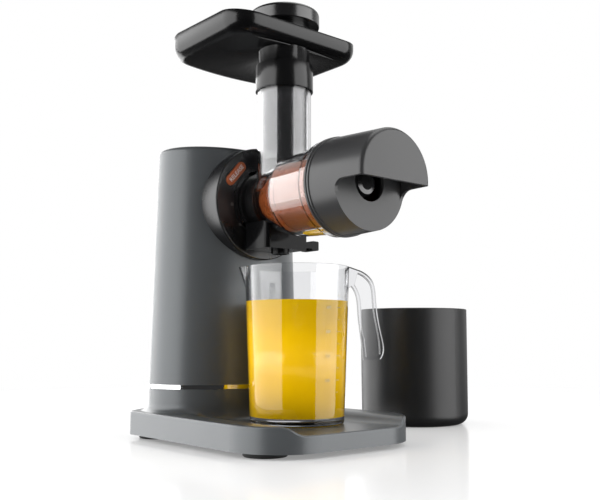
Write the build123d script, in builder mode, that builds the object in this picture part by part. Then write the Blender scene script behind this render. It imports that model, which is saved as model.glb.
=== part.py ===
"""Cold press juicer with a horizontal auger, its jug and its pulp bin. Millimetres, +Z up.

The auger's axis runs along +X, from the motor tower out to the end cap. The origin is on the
ground, in the middle of the footprint of the whole set. Places are measured from the feed
chute's axis, and heights along the auger from the auger's axis.
"""
import os
from math import acos, cos, hypot, pi, radians, sin, tan

from build123d import *

os.makedirs("parts", exist_ok=True)

# ---------------------------------------------------------------- where the set stands
chute_x = 7.85                # feed chute axis, from the origin
line_y = -91.65               # upright plane that holds the auger, the chute and the tower
auger_z = 206.0               # height of the auger's axis

# ---------------------------------------------------------------- clearances
loose_gap = 0.3               # between pieces that slide or turn past each other
shaft_gap = 0.05              # radial, shaft in its bearing
seat_gap = 0.1                # between fixed pieces that meet on a curved face

# ---------------------------------------------------------------- base
foot_height = 4.0
foot_r = 17.0
foot_inset = 25.5             # feet, in from the sides of the base
foot_front_inset = 38.0
foot_back_inset = 7.8         # from the back corners
base_width = 167.0
base_front_x = 88.0
base_behind = 8.0             # bowed back edge, behind the tower
base_bow = 36.2               # from the middle of that edge to its corners
base_front_r = 48.0
base_back_r = 12.0
base_top_z = 23.8
base_wall = 3.0
base_edge_r = 1.6
valley_z = 17.3               # floor that the jug stands on
valley_half = 47.0            # half width of that floor
shoulder_half = 66.0          # where its curved sides reach the top
cover_inset = 1.0             # bottom cover, up from the base's lower edge
cover_thick = 2.5
cover_screw_back = 10.5       # screws, in from the back edge and from the sides
cover_screw_side = 13.5
cover_screw_y = 24.0
cover_screw_x = (-34.0, 14.0)
vent_length = 50.0            # air slots under the motor
vent_width = 3.5
screw_r = 1.6
screw_head_r = 3.2
screw_head_height = 1.8

# ---------------------------------------------------------------- tower
tower_front_x = -34.0         # front of the tower at the trim band, from the chute
tower_depth = 106.0           # along X and Y at the trim band
tower_width = 147.0
tower_top_depth = 97.0
tower_top_width = 137.0
tower_top_z = 256.0
tower_wall = 3.0
tower_edge_r = 4.0
skirt_r = 7.0                 # hollow blend of the skirt into the base
band_z = 44.0
band_height = 3.5
band_proud = 0.3

# ---------------------------------------------------------------- drive bezel on the tower
bezel_r = 50.0
bezel_face_x = -30.0
bezel_spigot_r = 46.8
bezel_spigot_x = -54.0
bezel_wall = 3.0
socket_r = 28.0
socket_ring_r = 31.5
socket_ring_height = 1.2
socket_wall = 3.0
lug_front_x = -34.3
lug_back_x = -39.7
lug_r = 30.2
lug_angle = 20.0
twist_angle = 33.0            # chamber's turn from locked to open
seal_seat_r = 13.0

# ---------------------------------------------------------------- release button
button_length = 27.0
button_width = 9.6
button_y = -29.7              # middle of the button, from the auger's axis
button_z = 23.8
button_tilt = 49.0
button_proud = 1.3
button_depth = 4.0
button_travel = 2.5
stem_r = 1.8
spring_r = 2.9
spring_wire_r = 0.4

# ---------------------------------------------------------------- motor and gears
plate_thick = 3.0
rear_plate_x = -86.0          # rear face of the rear plate
front_plate_x = -57.0         # rear face of the front plate
stages = ((12, 60, 1.0), (12, 48, 1.25), (12, 48, 1.5))   # pinion teeth, wheel teeth, module
layer_x = (-82.0, -74.0, -66.0)                            # rear face of each stage's wheel
wheel_width = (7.0, 7.0, 8.4)
pressure_angle = 25.0
tooth_thinning = 0.09         # half of the play, at the pitch circle
pin_r = 3.0                   # fixed axle pins of the two middle gears
gear_hub_r = 5.2
wheel_boss_r = 10.0
web_thick = 3.0
plate_half = 40.0
plate_bottom_z = 66.0
plate_top_z = 250.0
plate_corner_r = 10.0
spacer_y = 34.0
spacer_z = (75.0, 243.0)
motor_r = 30.0
motor_wall = 1.5
motor_shaft_r = 2.5
motor_bush_r = 5.0
bush_length = 4.0
bell_thick = 3.0
magnet_thick = 5.0
armature_r = 20.0
fan_r = 22.0
fan_clear = 5.5               # fan to the tower's back wall
fan_room = 10.5               # fan and end bell, behind the motor
fan_width = 5.0
fan_blade = 1.4
drive_shaft_r = 8.0
drive_rear_r = 6.0
drive_hub_r = 9.5
drive_hub_x = -50.0
drive_end_x = -34.0
drive_flats = 10.0            # hexagon of the auger's shank, across flats
shank_back_x = -47.0
bearing_r = 12.5
spacer_r = 3.6

# ---------------------------------------------------------------- juicing chamber
chamber_back_x = -14.0
chamber_back_r = 22.0
body_front_x = 63.0
body_front_r = 36.6
flange_back_x = 65.0
flange_front_x = 71.6
flange_r = 39.3
nose_r = 36.3                 # spigot that the end cap turns on
nose_front_x = 82.0
chamber_wall = 2.5
body_curve = ((-7.0, 27.4), (-1.0, 29.6), (8.0, 31.5), (22.0, 34.5))   # station and radius
body_back_corner = (-11.5, 24.8)
neck_r = 24.0                 # black collar behind the clear body
collar_r = 27.6
collar_front_x = -25.0
collar_back_x = -46.0
collar_bore_r = 17.8
bushing_x = -30.0             # rear end of the auger's bushing in the collar
front_seal_length = 6.0
cap_lug_angle = 20.0
chute_r = 23.45
chute_wall = 2.5
chute_top_z = 321.5

# ---------------------------------------------------------------- juice spout and drip stop
spout_front_x = 4.0
spout_half = 22.0
spout_bottom_z = 163.0
spout_top_z = 186.0
spout_edge_r = 4.0
spout_x = -5.0                # juice hole
spout_bore_r = 6.0
lip_height = 4.0
lip_wall = 2.0
gate_z = 165.4
gate_thick = 5.4
gate_back_x = -13.0
gate_front_x = 2.6
gate_far_y = 37.6
gate_travel = 13.0
grip_length = 8.0
grip_proud = 1.4              # grip, over the plate's lower and upper face

# ---------------------------------------------------------------- strainer and auger
strainer_r = 29.0
strainer_wall = 1.8
strainer_back_x = -11.0
strainer_back_r = 17.4
strainer_body_x = 15.0
strainer_front_x = 81.0
strainer_flange = 3.0
window_back_x = 22.5
window_front_x = 57.0
window_count = 6
window_angle = 46.0
mesh_thick = 0.5
journal_r = 10.0
auger_core_r = 10.5
auger_core_front_r = 14.5
auger_press_r = 23.5
press_x = 78.0
auger_gap = 0.5
flight_pitch = 22.0
flight_front_x = 66.0
flight_thick = 3.4
tip_r = 11.0
tip_x = 101.0

# ---------------------------------------------------------------- end cap
cap_back_x = 72.0
cap_back_r = 39.6
cap_disc_x = 103.8
cap_front_x = 132.3
cap_front_r = 36.8
cap_wall = 3.0
cap_edge_r = 3.5              # rounded rim of the hood's face
hood_drop = 3.0               # hood's lower edge, under the auger's axis
hood_blend_r = 9.0
outlet_r = 15.5
funnel_r = 27.5
cap_twist = 60.0              # turn that frees the cap

# ---------------------------------------------------------------- hopper tray and pusher
tray_back_x = -85.7
tray_front_x = 28.5
tray_half = 70.2
tray_corner_r = 23.0
tray_bow = 10.0                 # bulge of the back side, seen from above
tray_bottom_z = 337.0
tray_rim_z = 352.0            # rim at the front and the back
tray_arch_z = 358.0           # rim at the middle of the two sides
tray_edge_r = 8.0             # rounded lower edge
tray_floor_r = 4.0            # inside it
tray_wall = 2.4
tray_neck_r = 22.4
tray_collar_r = 25.2
collar_gap = 0.25             # round the chute
tray_collar_z = 301.0
tray_collar_top_z = 323.5
pusher_top_z = 372.0
knob_r = 30.8
knob_height = 13.0
knob_edge_r = 3.0
knob_neck_r = 21.8
pusher_r = 19.6
pusher_wall = 2.2
pusher_gap = 1.0
plug_depth = 4.0              # shaft, up inside the knob
pusher_bottom_z = 238.0

# ---------------------------------------------------------------- jug
jug_x = 16.4                  # jug's axis, from the chute
jug_y = 1.0
jug_top_z = 146.0
jug_top_r = 43.9
jug_foot_r = 38.8
jug_wall = 2.2
jug_floor = 7.0
jug_spout_reach = 5.2
jug_spout_height = 22.0
jug_handle_turn = 49.7        # direction of the handle, from +X
handle_width = 14.0
handle_rib = 2.4              # rim round the hollow in each side
handle_web = 2.6              # plate between the two hollows
handle_outer = (              # reach from the jug's axis, and height, from the top down
    (51.7, 143.2), (57.8, 139.8), (62.8, 133.9), (65.2, 122.1),
    (65.9, 112.0), (69.8, 88.8), (70.9, 74.0), (68.8, 69.9),
)
handle_inner = ((54.7, 69.0), (53.2, 86.4), (50.8, 107.1), (48.5, 124.7), (45.5, 130.1))
handle_root_z = 129.0         # lowest place where the handle meets the jug

# ---------------------------------------------------------------- pulp bin
bin_x = -42.7                 # bin's axis, from the chute
bin_y = 211.3
bin_r = 55.5
bin_foot_r = 54.7
bin_height = 117.7
bin_wall = 2.3
bin_edge_r = 11.0

# ---------------------------------------------------------------- back of the tower
switch_z = 150.0
switch_width = 21.0
switch_height = 30.0
switch_flange = 2.5
switch_rim = 1.5
switch_depth = 14.0
rocker_gap = 0.4
rocker_pin_r = 1.5
rocker_angle = 10.0
rocker_proud = 4.6            # ends of the rocker's face, from its pivot
rocker_dip = 1.2              # hollow of the face at its middle
rocker_back = 4.5
rocker_keel = 4.0
gland_z = 64.0
gland_r = 6.5
gland_flange_r = 9.0
gland_bore_r = 3.6
gland_length = 5.5

rocker_depth = 2.2            # rocker's pivot, inside the tower's surface
board_width = 60.0
board_height = 70.0
board_thick = 1.6
board_standoff = 8.0
board_z = 190.0
board_post_r = 2.5
capacitor_r = 5.5
capacitor_height = 14.0
capacitor_at = ((-14.0, 18.0), (4.0, 18.0))   # from the middle of the board
driver_width = 30.0
driver_height = 14.0
driver_drop = 16.0

# ---------------------------------------------------------------- places that follow from them
tower_x = tower_front_x - tower_depth / 2
base_back_x = tower_front_x - tower_depth - base_behind
base_back_corner_x = base_back_x + base_bow
foot_y = base_width / 2 - foot_inset
foot_front_x = base_front_x - foot_front_inset
foot_back_x = base_back_corner_x + foot_back_inset
fan_back_x = tower_front_x - tower_depth + tower_wall + fan_clear
motor_length = rear_plate_x - fan_back_x - fan_room
screw_places = [
    *((base_back_x + cover_screw_back, side * cover_screw_y) for side in (-1, 1)),
    *((x, side * (base_width / 2 - cover_screw_side)) for x in cover_screw_x for side in (-1, 1)),
]

# ---------------------------------------------------------------- working planes and axes
ground = Plane(origin=(chute_x, line_y, 0))
across = Plane(origin=(chute_x, line_y, auger_z), x_dir=(0, 1, 0), z_dir=(1, 0, 0))
along = Plane(origin=(chute_x, line_y, auger_z), x_dir=(1, 0, 0), z_dir=(0, -1, 0))
upright = Plane(origin=(chute_x, line_y, 0), x_dir=(1, 0, 0), z_dir=(0, -1, 0))
auger_axis = Axis((chute_x, line_y, auger_z), (1, 0, 0))
chute_axis = Axis((chute_x, line_y, 0), (0, 0, 1))


def tower_half(z, inset=0.0):
    """Half depth and half width of the tower at a height, drawn in by an inset."""
    foot_z = band_z + band_height
    share = (z - foot_z) / (tower_top_z - foot_z)
    depth = tower_depth + (tower_top_depth - tower_depth) * share
    width = tower_width + (tower_top_width - tower_width) * share
    return depth / 2 - inset, width / 2 - inset


def on_skirt(place):
    """True where a place lies on the tower's outline at the trim band."""
    half_depth, half_width = tower_half(band_z + band_height)
    reach = hypot((place.X - chute_x - tower_x) / half_depth, (place.Y - line_y) / half_width)
    return abs(reach - 1) < 0.002


def keep(piece, name):
    """Label a finished piece and write it out."""
    piece.part.label = name
    export_step(piece.part, f"parts/{name}.step")


def gear_outline(teeth, module, turn=0.0):
    """Corners of a stub-toothed spur gear whose flanks are chords of the involute."""
    pitch_r = module * teeth / 2
    base_r = pitch_r * cos(radians(pressure_angle))
    tip_radius = pitch_r + 0.8 * module
    root_radius = pitch_r - module

    def spread(radius):
        angle = acos(min(1.0, base_r / radius))
        return tan(angle) - angle

    half_tooth = pi / (2 * teeth) - tooth_thinning / pitch_r + spread(pitch_r)
    points = []
    for tooth in range(teeth):
        middle = radians(turn) + 2 * pi * tooth / teeth
        for side in (-1, 1):
            flank = [(radius, half_tooth - spread(max(radius, base_r)))
                     for radius in (root_radius, pitch_r, tip_radius)]
            for radius, half_angle in flank if side < 0 else reversed(flank):
                angle = middle + side * half_angle
                points.append((radius * cos(angle), radius * sin(angle)))
    return points


def ring_sector(inner, outer, start, sweep):
    """A ring's sector, from an angle on."""
    far = 1.5 * outer
    with BuildSketch(mode=Mode.PRIVATE) as wedge:
        with BuildLine():
            rim = CenterArc((0, 0), far, start, sweep)
            Line((0, 0), rim @ 0)
            Line((0, 0), rim @ 1)
        make_face()
    with BuildSketch(mode=Mode.PRIVATE) as sector:
        Circle(outer)
        if inner > 0:
            Circle(inner, mode=Mode.SUBTRACT)
        add(wedge.sketch, mode=Mode.INTERSECT)
    return sector.sketch


# ================================================================ base
skirt_a, skirt_b = tower_half(band_z + band_height)
cover_z = foot_height + cover_inset


def base_plan(inset=0.0):
    """Outline of the base, drawn in by an inset."""
    half = base_width / 2 - inset
    front = base_front_x - inset
    corner = base_back_corner_x + inset
    with BuildSketch(Plane.XY, mode=Mode.PRIVATE) as plan:
        with BuildLine():
            back = ThreePointArc((corner, -half), (base_back_x + inset, 0), (corner, half))
            Polyline(back @ 1, (front, half), (front, -half), back @ 0)
        make_face()
        fillet(plan.vertices().sort_by(Axis.X)[:2], base_back_r - inset)
        fillet(plan.vertices().sort_by(Axis.X)[-2:], base_front_r - inset)
    return plan.sketch


with BuildPart() as base_housing:
    with BuildSketch(ground.offset(foot_height)) as base_outline:
        add(base_plan())
    extrude(amount=base_top_z - foot_height)
    with BuildSketch(across.offset(-tower_depth)):
        with BuildLine():
            rise = (shoulder_half - valley_half) / 2
            lift = (base_top_z - valley_z) / 2
            floor = Line((0, valley_z - auger_z), (valley_half, valley_z - auger_z))
            low = TangentArc(floor @ 1, (valley_half + rise, valley_z + lift - auger_z), tangent=(1, 0))
            high = TangentArc(low @ 1, (shoulder_half, base_top_z - auger_z), tangent=low % 1)
            Polyline(high @ 1, (shoulder_half, 0), (0, 0), floor @ 0)
        make_face()
        mirror(about=Plane.YZ)
    extrude(amount=tower_depth + base_front_x + base_wall, mode=Mode.SUBTRACT)
    outer_wire = base_outline.sketch.wires()[0]
    rim = base_housing.edges().filter_by(
        lambda e: (e @ 0.5).Z > valley_z - 0.1
        and outer_wire.distance_to(Vertex((e @ 0.5).X, (e @ 0.5).Y, foot_height)) < 0.1
    )
    fillet(rim, base_edge_r)
    with BuildSketch(ground.offset(valley_z - base_wall)):
        with Locations((tower_x, 0)):
            Ellipse(skirt_a, skirt_b)
    extrude(amount=band_z - valley_z + base_wall)
    foot_of_skirt = base_housing.edges().filter_by(
        lambda e: valley_z - 0.1 < (e @ 0.5).Z < base_top_z + 0.1 and on_skirt(e @ 0.5)
    )
    fillet(foot_of_skirt, skirt_r)
    with BuildSketch(ground.offset(foot_height)):
        add(base_plan(base_wall))
    extrude(amount=cover_inset + cover_thick, mode=Mode.SUBTRACT)
    with BuildSketch(ground.offset(foot_height)):
        add(base_plan(base_wall))
        with Locations(screw_places):
            Circle(screw_head_r + 1.5, mode=Mode.SUBTRACT)
    extrude(amount=valley_z - base_wall - foot_height, mode=Mode.SUBTRACT)
    with BuildSketch(ground.offset(cover_z + cover_thick)):
        with Locations((tower_x, 0)):
            Ellipse(skirt_a - tower_wall, skirt_b - tower_wall)
    extrude(amount=band_z, mode=Mode.SUBTRACT)
keep(base_housing, "base_housing")

with BuildPart() as bottom_cover:
    with BuildSketch(ground.offset(cover_z)):
        add(base_plan(base_wall))
    extrude(amount=cover_thick)
    with BuildSketch(ground.offset(cover_z)):
        with Locations((tower_x, 0)):
            with GridLocations(9, 0, 7, 1):
                SlotOverall(vent_length, vent_width, rotation=90)
    extrude(amount=cover_thick, mode=Mode.SUBTRACT)
    with BuildSketch(ground.offset(cover_z)):
        with Locations(screw_places):
            Circle(screw_r)
    extrude(amount=cover_thick, mode=Mode.SUBTRACT)
keep(bottom_cover, "bottom_cover")

with BuildPart() as cover_screws:
    with BuildSketch(ground.offset(cover_z - screw_head_height)):
        with Locations(screw_places):
            Circle(screw_head_r)
    extrude(amount=screw_head_height)
    with BuildSketch(ground.offset(cover_z)):
        with Locations(screw_places):
            Circle(screw_r)
    extrude(amount=cover_thick)
keep(cover_screws, "cover_screws")

with BuildPart() as rubber_feet:
    with BuildSketch(ground):
        with Locations([(x, side * foot_y) for x in (foot_front_x, foot_back_x) for side in (-1, 1)]):
            Circle(foot_r)
    extrude(amount=cover_z)
    chamfer(rubber_feet.faces().filter_by(Axis.Z).group_by(Axis.Z)[0].edges(), 0.8)
keep(rubber_feet, "rubber_feet")

# ================================================================ tower
with BuildPart() as trim_band:
    with BuildSketch(ground.offset(band_z)):
        with Locations((tower_x, 0)):
            Ellipse(skirt_a + band_proud, skirt_b + band_proud)
            Ellipse(skirt_a - tower_wall, skirt_b - tower_wall, mode=Mode.SUBTRACT)
    extrude(amount=band_height)
keep(trim_band, "trim_band")

with BuildPart() as tower_form:
    for height in (band_z + band_height, tower_top_z):
        with BuildSketch(ground.offset(height)):
            with Locations((tower_x, 0)):
                Ellipse(*tower_half(height))
    loft()
    fillet(tower_form.edges().group_by(Axis.Z)[-1], tower_edge_r)

with BuildPart() as tower_seat:
    for height in (band_z + band_height, tower_top_z + seat_gap):
        with BuildSketch(ground.offset(height)):
            with Locations((tower_x, 0)):
                Ellipse(*tower_half(height, -seat_gap))
    loft()

with BuildPart() as tower_inside:
    for height in (band_z + band_height, tower_top_z - tower_wall):
        with BuildSketch(ground.offset(height)):
            with Locations((tower_x, 0)):
                Ellipse(*tower_half(height, tower_wall))
    loft()

switch_x = tower_x - tower_half(switch_z)[0]
gland_x = tower_x - tower_half(gland_z)[0]
rocker_x = switch_x + rocker_depth
with BuildPart() as tower_housing:
    add(tower_form.part)
    add(tower_inside.part, mode=Mode.SUBTRACT)
    with BuildSketch(across.offset(tower_x)):
        Circle(bezel_spigot_r)
    extrude(amount=tower_depth, mode=Mode.SUBTRACT)
    with BuildSketch(across.offset(tower_x)):
        with Locations((0, switch_z - auger_z)):
            Rectangle(switch_width, switch_height)
        with Locations((0, gland_z - auger_z)):
            Circle(gland_r)
    extrude(amount=-tower_depth, mode=Mode.SUBTRACT)
keep(tower_housing, "tower_housing")

# ================================================================ drive bezel
groove_front_x = lug_front_x + loose_gap
groove_back_x = lug_back_x - loose_gap
groove_r = lug_r + loose_gap
socket_floor_x = collar_back_x - loose_gap
socket_mouth_x = bezel_face_x + socket_ring_height
lug_angles = (80.0, 200.0, 320.0)

button_back_x = bezel_face_x + button_proud - button_depth
pocket_back_x = button_back_x - button_travel - loose_gap

with BuildPart() as bezel_behind:
    with BuildSketch(across.offset(bezel_spigot_x - bezel_r)):
        Circle(2 * bezel_r)
        Circle(bezel_spigot_r, mode=Mode.SUBTRACT)
    extrude(amount=2 * bezel_r)
    add(tower_seat.part, mode=Mode.INTERSECT)

with BuildPart() as drive_bezel:
    with BuildSketch(across.offset(bezel_spigot_x)):
        Circle(bezel_r)
    extrude(amount=bezel_face_x - bezel_spigot_x)
    fillet(drive_bezel.edges().filter_by(GeomType.CIRCLE).sort_by(Axis.X)[-1], 1.5)
    add(bezel_behind.part, mode=Mode.SUBTRACT)
    with BuildSketch(across.offset(bezel_spigot_x + bezel_wall)):
        Circle(bezel_spigot_r - bezel_wall)
        Circle(socket_ring_r + socket_wall, mode=Mode.SUBTRACT)
    extrude(amount=bezel_face_x - bezel_spigot_x - 2 * bezel_wall, mode=Mode.SUBTRACT)
    with BuildSketch(across.offset(bezel_face_x)):
        Circle(socket_ring_r)
    extrude(amount=socket_ring_height)
    with BuildSketch(across.offset(socket_floor_x)):
        Circle(socket_r)
    extrude(amount=socket_mouth_x - socket_floor_x, mode=Mode.SUBTRACT)
    with BuildSketch(across.offset(groove_back_x)):
        Circle(groove_r)
    extrude(amount=groove_front_x - groove_back_x, mode=Mode.SUBTRACT)
    with BuildSketch(across.offset(groove_back_x)):
        for angle in lug_angles:
            add(ring_sector(0, groove_r, angle - lug_angle / 2 - 2 + twist_angle, lug_angle + 4))
    extrude(amount=socket_mouth_x - groove_back_x, mode=Mode.SUBTRACT)
    with BuildSketch(across.offset(bezel_spigot_x)):
        Circle(seal_seat_r)
    extrude(amount=socket_floor_x - bezel_spigot_x, mode=Mode.SUBTRACT)
    with BuildSketch(across.offset(pocket_back_x)):
        with Locations(Location((button_y, button_z), button_tilt)):
            SlotOverall(button_length, button_width)
    extrude(amount=bezel_face_x - pocket_back_x, mode=Mode.SUBTRACT)
keep(drive_bezel, "drive_bezel")

with BuildPart() as shaft_seal:
    with BuildSketch(across.offset(bezel_spigot_x)):
        Circle(seal_seat_r)
        Circle(drive_hub_r + shaft_gap, mode=Mode.SUBTRACT)
    extrude(amount=socket_floor_x - bezel_spigot_x)
keep(shaft_seal, "shaft_seal")

stem_back_x = bezel_spigot_x + bezel_wall + button_travel + loose_gap
with BuildPart() as release_button:
    with BuildSketch(across.offset(button_back_x)):
        with Locations(Location((button_y, button_z), button_tilt)):
            SlotOverall(button_length - 2 * loose_gap, button_width - 2 * loose_gap)
    extrude(amount=button_depth)
    fillet(release_button.faces().sort_by(Axis.X)[-1].edges(), 1.0)
    with BuildSketch(across.offset(stem_back_x)):
        with Locations((button_y, button_z)):
            Circle(stem_r)
    extrude(amount=button_back_x - stem_back_x)
keep(release_button, "release_button")

spring_back_x = bezel_spigot_x + bezel_wall
spring_front_x = pocket_back_x
with BuildPart() as button_spring:
    with BuildSketch(across.offset(spring_back_x)):
        with Locations((button_y, button_z)):
            Circle(spring_r + spring_wire_r)
            Circle(spring_r - spring_wire_r, mode=Mode.SUBTRACT)
    extrude(amount=spring_front_x - spring_back_x)
keep(button_spring, "button_spring")

# ================================================================ motor and gearbox
heights = [auger_z]
for pinion_teeth, wheel_teeth, module in reversed(stages):
    heights.insert(0, heights[0] - module * (pinion_teeth + wheel_teeth) / 2)
motor_z, first_z, second_z = heights[:3]
motor_back_x = rear_plate_x - motor_length
front_plate_face_x = front_plate_x + plate_thick
spacer_places = [(side * spacer_y, z - auger_z) for side in (-1, 1) for z in spacer_z]

with BuildPart() as motor_can:
    with BuildSketch(across.offset(motor_back_x)):
        with Locations((0, motor_z - auger_z)):
            Circle(motor_r)
    extrude(amount=motor_length)
    with BuildSketch(across.offset(motor_back_x)):
        with Locations((0, motor_z - auger_z)):
            Circle(motor_r - motor_wall)
    extrude(amount=motor_length - motor_wall, mode=Mode.SUBTRACT)
    with BuildSketch(across.offset(motor_back_x)):
        with Locations((0, motor_z - auger_z)):
            Circle(motor_bush_r)
    extrude(amount=motor_length, mode=Mode.SUBTRACT)
keep(motor_can, "motor_can")

with BuildPart() as motor_rear_bell:
    with BuildSketch(across.offset(motor_back_x)):
        with Locations((0, motor_z - auger_z)):
            Circle(motor_r)
            Circle(motor_bush_r, mode=Mode.SUBTRACT)
            with PolarLocations(0.6 * motor_r, 8):
                Circle(0.12 * motor_r, mode=Mode.SUBTRACT)
    extrude(amount=-bell_thick)
keep(motor_rear_bell, "motor_rear_bell")

with BuildPart() as motor_magnets:
    with BuildSketch(across.offset(motor_back_x + 2 * motor_wall)):
        with Locations((0, motor_z - auger_z)):
            for start in (20, 200):
                add(ring_sector(motor_r - motor_wall - magnet_thick, motor_r - motor_wall, start, 140))
    extrude(amount=motor_length - 6 * motor_wall)
keep(motor_magnets, "motor_magnets")

with BuildPart() as motor_bushes:
    for start_x in (rear_plate_x - bush_length, motor_back_x - bell_thick):
        with BuildSketch(across.offset(start_x)):
            with Locations((0, motor_z - auger_z)):
                Circle(motor_bush_r)
                Circle(motor_shaft_r + shaft_gap, mode=Mode.SUBTRACT)
        extrude(amount=bush_length)
keep(motor_bushes, "motor_bushes")

with BuildPart() as motor_shaft:
    with BuildSketch(across.offset(fan_back_x)):
        with Locations((0, motor_z - auger_z)):
            Circle(motor_shaft_r)
    extrude(amount=layer_x[0] + wheel_width[0] - fan_back_x)
keep(motor_shaft, "motor_shaft")

with BuildPart() as armature:
    with BuildSketch(across.offset(motor_back_x + bush_length + 1)):
        with Locations((0, motor_z - auger_z)):
            Circle(armature_r)
            Circle(motor_shaft_r, mode=Mode.SUBTRACT)
            with PolarLocations(armature_r, 12):
                SlotOverall(0.5 * armature_r, 2.4, mode=Mode.SUBTRACT)
    extrude(amount=motor_length - 2 * bush_length - motor_wall - 2)
keep(armature, "armature")

with BuildPart() as motor_pinion:
    with BuildSketch(across.offset(layer_x[0])):
        with Locations((0, motor_z - auger_z)):
            Polygon(*gear_outline(stages[0][0], stages[0][2]), align=None)
            Circle(motor_shaft_r, mode=Mode.SUBTRACT)
    extrude(amount=wheel_width[0])
keep(motor_pinion, "motor_pinion")

with BuildPart() as cooling_fan:
    with BuildSketch(across.offset(fan_back_x)):
        with Locations((0, motor_z - auger_z)):
            Circle(0.3 * fan_r)
            with PolarLocations(0.62 * fan_r, 9):
                Rectangle(0.76 * fan_r, fan_blade)
            Circle(motor_shaft_r, mode=Mode.SUBTRACT)
    extrude(amount=fan_width)
    with BuildSketch(across.offset(fan_back_x + fan_width - fan_blade)):
        with Locations((0, motor_z - auger_z)):
            Circle(fan_r)
            Circle(motor_shaft_r, mode=Mode.SUBTRACT)
    extrude(amount=fan_blade)
keep(cooling_fan, "cooling_fan")


def plate_plan():
    """Outline of a gearbox plate with the holes that both plates have."""
    with BuildSketch(mode=Mode.PRIVATE) as plan:
        with Locations((0, (plate_top_z + plate_bottom_z) / 2 - auger_z)):
            RectangleRounded(2 * plate_half, plate_top_z - plate_bottom_z, plate_corner_r)
        Circle(bearing_r, mode=Mode.SUBTRACT)
        with Locations((0, first_z - auger_z), (0, second_z - auger_z)):
            Circle(pin_r, mode=Mode.SUBTRACT)
    return plan.sketch


with BuildPart() as gearbox_rear_plate:
    with BuildSketch(across.offset(rear_plate_x)):
        add(plate_plan())
        with Locations((0, motor_z - auger_z)):
            Circle(stages[0][0] * stages[0][2] / 2 + 2 * stages[0][2], mode=Mode.SUBTRACT)
    extrude(amount=plate_thick)
keep(gearbox_rear_plate, "gearbox_rear_plate")

with BuildPart() as gearbox_front_plate:
    with BuildSketch(across.offset(front_plate_x)):
        add(plate_plan())
    extrude(amount=plate_thick)
keep(gearbox_front_plate, "gearbox_front_plate")

with BuildPart() as plate_spacers:
    with BuildSketch(across.offset(rear_plate_x + plate_thick)):
        with Locations(spacer_places):
            RegularPolygon(spacer_r, 6)
    extrude(amount=front_plate_x - rear_plate_x - plate_thick)
keep(plate_spacers, "plate_spacers")

with BuildPart() as plate_screws:
    with BuildSketch(across.offset(rear_plate_x)):
        with Locations(spacer_places):
            Circle(screw_head_r)
    extrude(amount=-screw_head_height)
keep(plate_screws, "plate_screws")

with BuildPart() as gear_axle_pins:
    with BuildSketch(across.offset(rear_plate_x)):
        with Locations((0, first_z - auger_z), (0, second_z - auger_z)):
            Circle(pin_r)
    extrude(amount=front_plate_face_x - rear_plate_x)
keep(gear_axle_pins, "gear_axle_pins")


def gear_wheel(stage, axle_z, bore):
    """Rim, web and hub of one stage's wheel."""
    teeth, module = stages[stage][1:]
    width = wheel_width[stage]
    rim_r = module * teeth / 2 - 3 * module
    with BuildPart(mode=Mode.PRIVATE) as wheel:
        with BuildSketch(across.offset(layer_x[stage])):
            with Locations((0, axle_z - auger_z)):
                Polygon(*gear_outline(teeth, module, 180 / teeth), align=None)
                Circle(bore, mode=Mode.SUBTRACT)
        extrude(amount=width)
        for start_x in (layer_x[stage], layer_x[stage] + (width + web_thick) / 2):
            with BuildSketch(across.offset(start_x)):
                with Locations((0, axle_z - auger_z)):
                    Circle(rim_r)
                    Circle(wheel_boss_r, mode=Mode.SUBTRACT)
            extrude(amount=(width - web_thick) / 2, mode=Mode.SUBTRACT)
    return wheel.part


def gear_cluster(stage, axle_z):
    """A wheel with the next stage's pinion and both hubs, running on an axle pin."""
    teeth, module = stages[stage + 1][0], stages[stage + 1][2]
    hub_back_x = rear_plate_x + plate_thick + loose_gap
    with BuildPart(mode=Mode.PRIVATE) as cluster:
        add(gear_wheel(stage, axle_z, pin_r + shaft_gap))
        with BuildSketch(across.offset(layer_x[stage] + wheel_width[stage])):
            with Locations((0, axle_z - auger_z)):
                Circle(gear_hub_r)
        extrude(amount=layer_x[stage + 1] - layer_x[stage] - wheel_width[stage])
        with BuildSketch(across.offset(layer_x[stage + 1])):
            with Locations((0, axle_z - auger_z)):
                Polygon(*gear_outline(teeth, module), align=None)
        extrude(amount=wheel_width[stage + 1])
        with BuildSketch(across.offset(hub_back_x)):
            with Locations((0, axle_z - auger_z)):
                Circle(gear_hub_r)
        extrude(amount=front_plate_x - loose_gap - hub_back_x)
        with BuildSketch(across.offset(hub_back_x)):
            with Locations((0, axle_z - auger_z)):
                Circle(pin_r + shaft_gap)
        extrude(amount=front_plate_x - hub_back_x, mode=Mode.SUBTRACT)
    return cluster.part


with BuildPart() as first_gear:
    add(gear_cluster(0, first_z))
keep(first_gear, "first_gear")

with BuildPart() as second_gear:
    add(gear_cluster(1, second_z))
keep(second_gear, "second_gear")

with BuildPart() as output_gear:
    add(gear_wheel(2, auger_z, drive_shaft_r))
keep(output_gear, "output_gear")

with BuildPart() as shaft_bearings:
    for start_x, bore in ((rear_plate_x, drive_rear_r), (front_plate_x, drive_shaft_r)):
        with BuildSketch(across.offset(start_x)):
            Circle(bearing_r)
            Circle(bore + shaft_gap, mode=Mode.SUBTRACT)
        extrude(amount=plate_thick)
keep(shaft_bearings, "shaft_bearings")

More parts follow.
